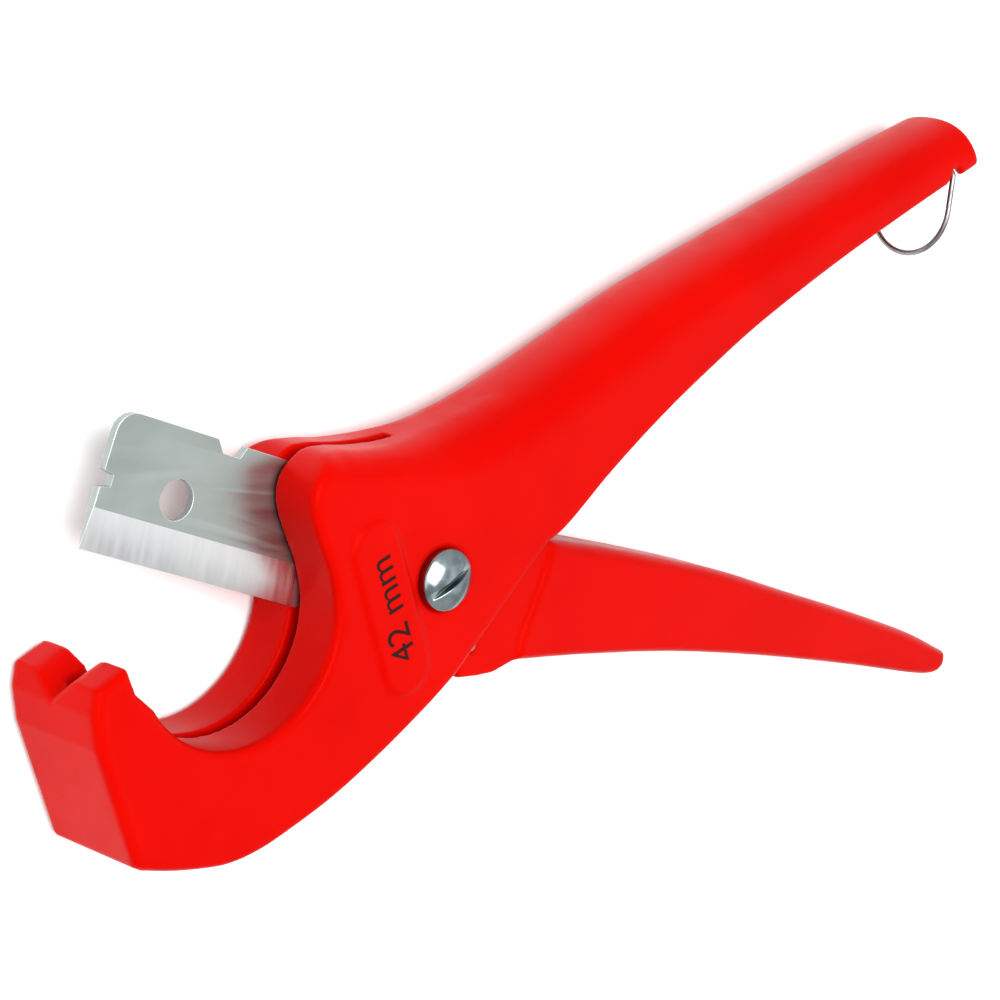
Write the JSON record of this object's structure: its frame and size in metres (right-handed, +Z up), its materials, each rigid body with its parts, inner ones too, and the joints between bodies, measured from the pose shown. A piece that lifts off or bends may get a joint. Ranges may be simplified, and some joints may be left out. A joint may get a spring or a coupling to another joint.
{
  "type": "plastic pipe cutter",
  "caption": "One-hand shear for plastic pipe: hooked jaw, pivoting blade on the lower handle, slotted pivot screw and a wire bail that holds the handles shut.",
  "frame": {"origin": "middle of the base of the bounding box; the tool lies on its far side face", "axes": "+Z up through the thickness, along the pivot screw towards its head; +X from the hook jaw towards the handle ends; +Y towards the upper handle"},
  "size_m": [0.2374, 0.1456, 0.0279],
  "materials": {
    "red_casting": "gloss red enamel on a die casting",
    "blade_steel": "ground tool steel, bevel polished brighter",
    "screw_plating": "bright zinc plating",
    "wire_steel": "drawn wire"
  },
  "bodies": {
    "frame": {"frame": "red_casting", "pivot_screw": "screw_plating", "pivot_nut": "screw_plating", "return_spring": "wire_steel"},
    "lever": {"lever": "red_casting", "blade": "blade_steel", "blade_heel_pin": "screw_plating", "blade_back_pin": "screw_plating", "spring_anchor_pin": "screw_plating"},
    "bail": {"bail": "wire_steel"}
  },
  "joints": [
    {"name": "handle_pivot", "type": "hinge", "parent": "frame", "child": "lever", "pos_m": [-0.04325, -0.02225, 0.0123], "axis": [0, 0, 1], "range_deg": [-30, 38], "stiffness_Nm_per_rad": 0.3, "deforming": ["return_spring"]},
    {"name": "bail_swing", "type": "hinge", "parent": "frame", "child": "bail", "pos_m": [0.09115, 0.06175, 0.0123], "axis": [0, 0, 1], "range_deg": [-15, 50]}
  ]
}
